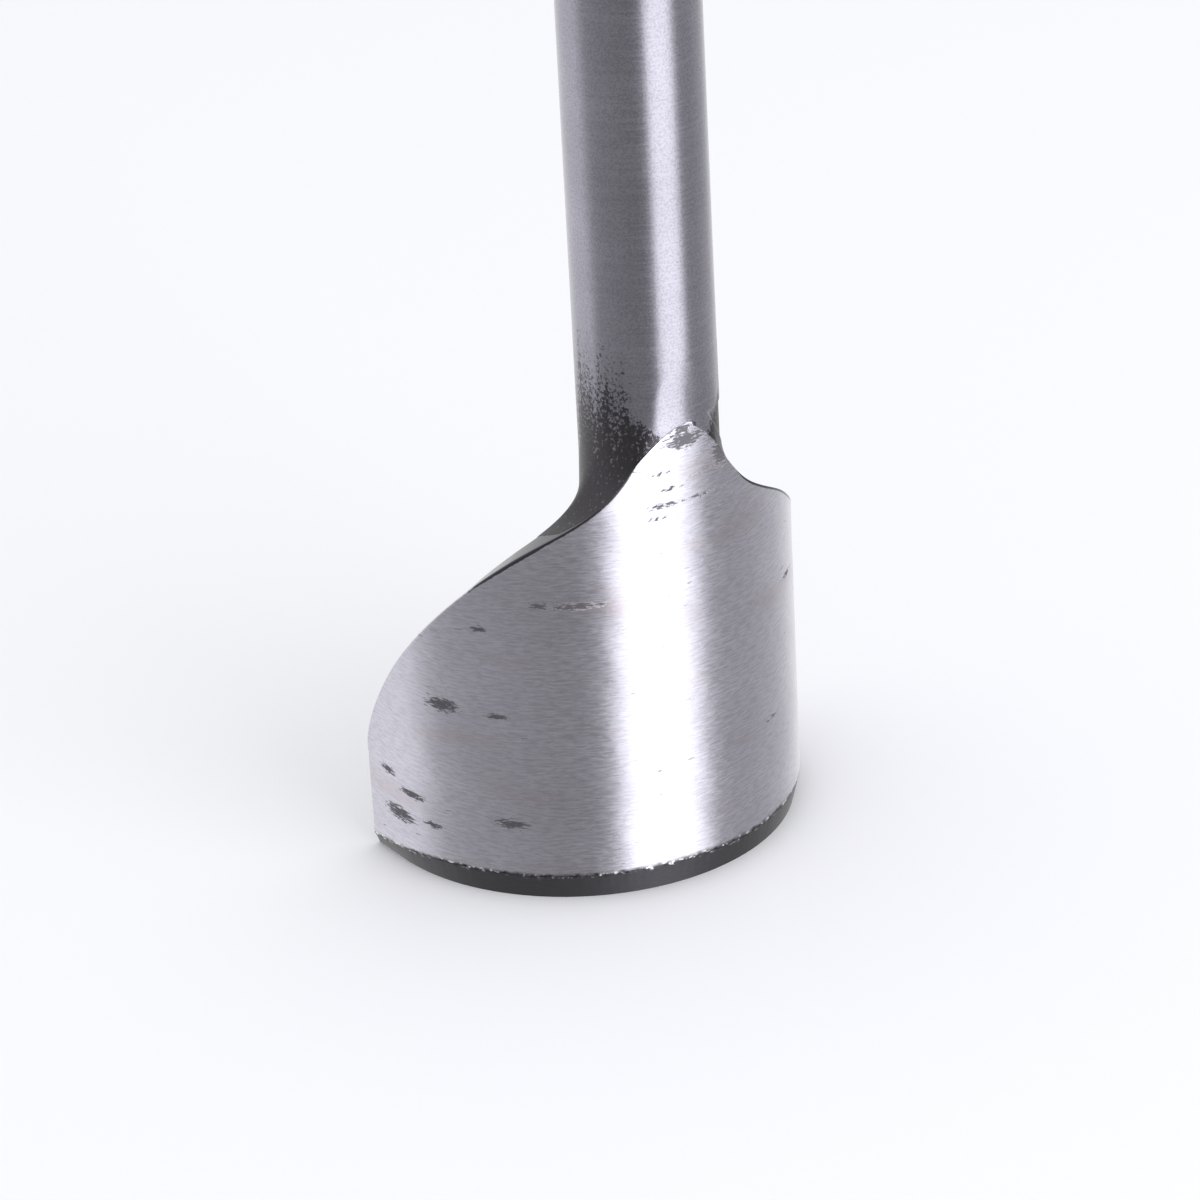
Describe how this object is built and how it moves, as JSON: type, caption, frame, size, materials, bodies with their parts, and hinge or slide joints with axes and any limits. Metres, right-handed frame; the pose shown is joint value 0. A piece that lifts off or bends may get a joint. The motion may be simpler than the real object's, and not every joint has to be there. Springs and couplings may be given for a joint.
{
  "type": "strap end punch",
  "caption": "Hand-struck strap end punch: a half-round steel cutting blade with two wings, joined by fillets to a straight round shank with a chamfered struck end.",
  "frame": {"origin": "middle of the footprint, on the plane of the cutting edge", "axes": "+Z along the shank towards the struck end; -Y is the blade's crown and +Y its open side; +X is across the blade"},
  "size_m": [0.04, 0.024, 0.13],
  "materials": {
    "shank_steel": "polished round bar with fine scratches across and along it",
    "blade_steel": "ground satin with marks across the blade and a few dark low spots",
    "weld_scale": "dark pitted scale left between the ground faces"
  },
  "bodies": {
    "root": {"shank": "shank_steel", "blade": "blade_steel", "neck_weld_left": "weld_scale", "neck_weld_right": "weld_scale", "root_weld": "weld_scale"}
  },
  "joints": []
}
